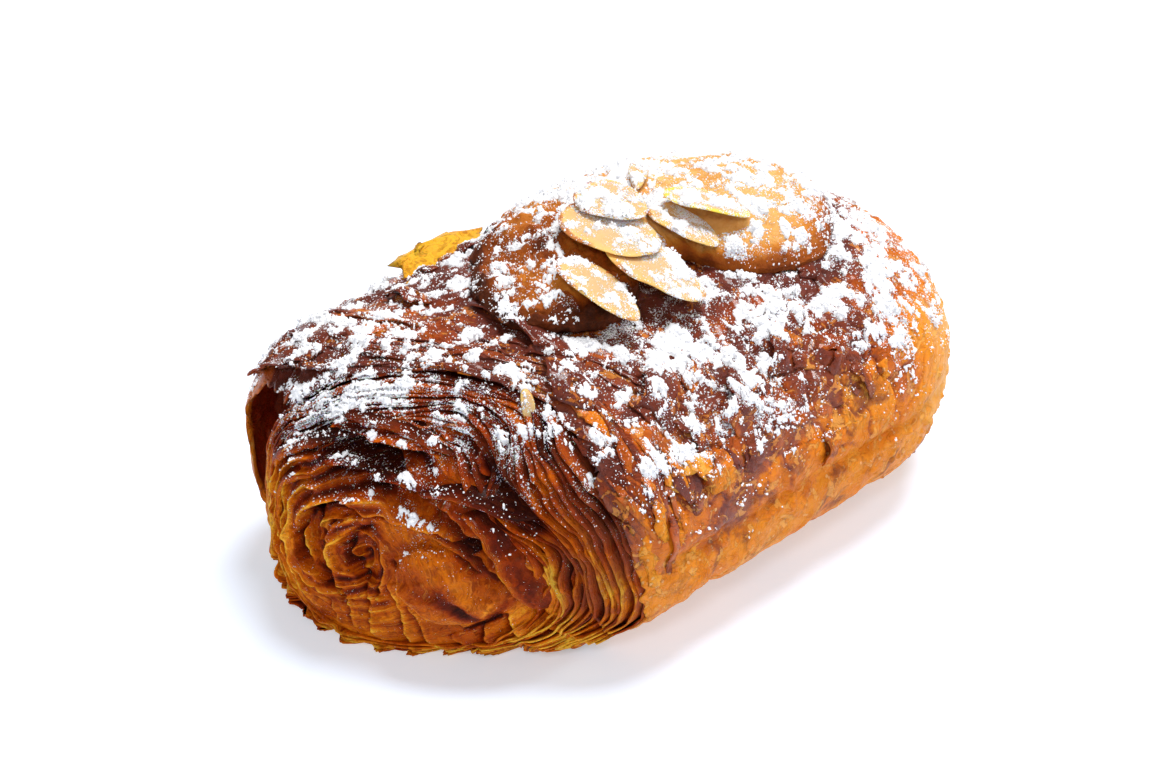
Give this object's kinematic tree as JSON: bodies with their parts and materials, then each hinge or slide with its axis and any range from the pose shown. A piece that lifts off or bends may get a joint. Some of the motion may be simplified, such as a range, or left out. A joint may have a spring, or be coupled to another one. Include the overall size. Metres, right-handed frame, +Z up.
{
  "type": "almond pain au chocolat",
  "caption": "Rolled, laminated pastry with a baked almond cream cap, flaked almonds and icing sugar. It lies on its flat base.",
  "frame": {"origin": "middle of the footprint, on the surface the pastry lies on", "axes": "+X along the roll, from the open layered end to the closed end; +Y to its left; +Z up"},
  "size_m": [0.1284, 0.0818, 0.0652],
  "materials": {
    "crust": "baked, egg-washed laminated crust: glossy mauve-brown on top, orange-brown on the sides, honey-coloured layer edges at the open end, with icing sugar",
    "almond_cream": "baked almond cream: matt golden tan, browner and pitted on the left pool, thickly dusted with icing sugar",
    "almond": "lightly toasted flaked almond: satin cream with a golden edge"
  },
  "bodies": {
    "root": {"pastry_roll": "crust", "almond_cream_cap": "almond_cream", "almond_flake_1": "almond", "almond_flake_2": "almond", "almond_flake_3": "almond", "almond_flake_4": "almond", "almond_flake_5": "almond", "almond_flake_6": "almond", "almond_flake_7": "almond", "almond_flake_8": "almond"}
  },
  "joints": []
}
